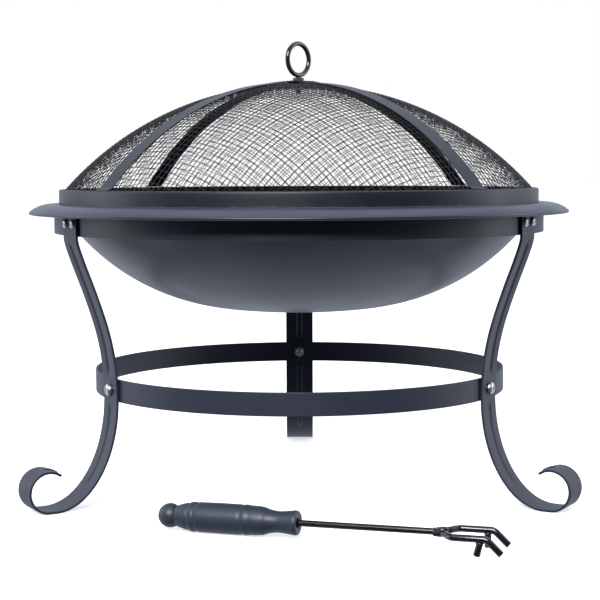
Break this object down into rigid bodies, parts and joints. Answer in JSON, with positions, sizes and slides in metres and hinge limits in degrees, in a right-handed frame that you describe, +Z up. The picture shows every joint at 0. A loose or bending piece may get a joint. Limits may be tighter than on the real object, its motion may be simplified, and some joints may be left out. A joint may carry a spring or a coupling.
{
  "type": "fire pit",
  "caption": "Round steel fire pit: dished bowl with rolled rim on a scroll-legged ring stand, domed wire-mesh spark lid with crossed straps and ring handle, log grate and forked poker.",
  "frame": {"origin": "on the floor under the middle of the whole set; the bowl's axis is 17.2 mm behind it", "axes": "+Z up, -Y towards the poker, +Y towards the rear leg, +X to the right seen from the poker side"},
  "size_m": [0.561, 0.6491, 0.4653],
  "materials": {
    "stand_paint": "satin black heat-resistant paint on strip steel",
    "bowl_paint": "satin black heat-resistant paint on pressed sheet",
    "lid_paint": "satin black heat-resistant paint",
    "mesh_wire": "black woven steel wire",
    "fasteners": "bright zinc plating",
    "grate_iron": "dark bare steel rod",
    "poker_black": "gloss black rod",
    "poker_grip": "turned wood in satin black paint"
  },
  "bodies": {
    "stand": {"upper_ring": "stand_paint", "lower_ring": "stand_paint", "leg_front_right": "stand_paint", "leg_front_left": "stand_paint", "leg_rear": "stand_paint", "screw_top_a_front_right": "fasteners", "nut_top_a_front_right": "fasteners", "screw_top_b_front_right": "fasteners", "nut_top_b_front_right": "fasteners", "screw_ring_front_right": "fasteners", "nut_ring_front_right": "fasteners", "screw_top_a_front_left": "fasteners", "nut_top_a_front_left": "fasteners", "screw_top_b_front_left": "fasteners", "nut_top_b_front_left": "fasteners", "screw_ring_front_left": "fasteners", "nut_ring_front_left": "fasteners", "screw_top_a_rear": "fasteners", "nut_top_a_rear": "fasteners", "screw_top_b_rear": "fasteners", "nut_top_b_rear": "fasteners", "screw_ring_rear": "fasteners", "nut_ring_rear": "fasteners"},
    "bowl": {"bowl": "bowl_paint"},
    "lid": {"lid_band": "lid_paint", "lid_mesh": "mesh_wire", "strap_lower": "lid_paint", "strap_upper": "lid_paint", "ring_handle": "lid_paint", "handle_boss": "fasteners", "handle_washer": "fasteners", "handle_nut": "fasteners"},
    "grate": {"grate_hoop": "grate_iron", "grate_bearer_left": "grate_iron", "grate_bearer_right": "grate_iron", "grate_bar_1": "grate_iron", "grate_bar_2": "grate_iron", "grate_bar_3": "grate_iron", "grate_bar_4": "grate_iron", "grate_bar_5": "grate_iron", "grate_bar_6": "grate_iron", "grate_bar_7": "grate_iron", "grate_bar_8": "grate_iron", "grate_bar_9": "grate_iron"},
    "poker": {"poker_grip": "poker_grip", "poker_rod": "poker_black", "poker_tine_rear": "poker_black", "poker_tine_front": "poker_black", "poker_spur_rear": "poker_black", "poker_spur_front": "poker_black"}
  },
  "joints": [
    {"name": "bowl_lift", "type": "slide", "parent": "stand", "child": "bowl", "axis": [0, 0, 1], "range_m": [0, 0.15]},
    {"name": "lid_lift", "type": "slide", "parent": "bowl", "child": "lid", "axis": [0, 0, 1], "range_m": [0, 0.22]},
    {"name": "grate_lift", "type": "slide", "parent": "bowl", "child": "grate", "axis": [0, 0, 1], "range_m": [0, 0.1]},
    {"name": "poker_lift", "type": "slide", "parent": "stand", "child": "poker", "axis": [0, 0, 1], "range_m": [0, 0.12]}
  ]
}
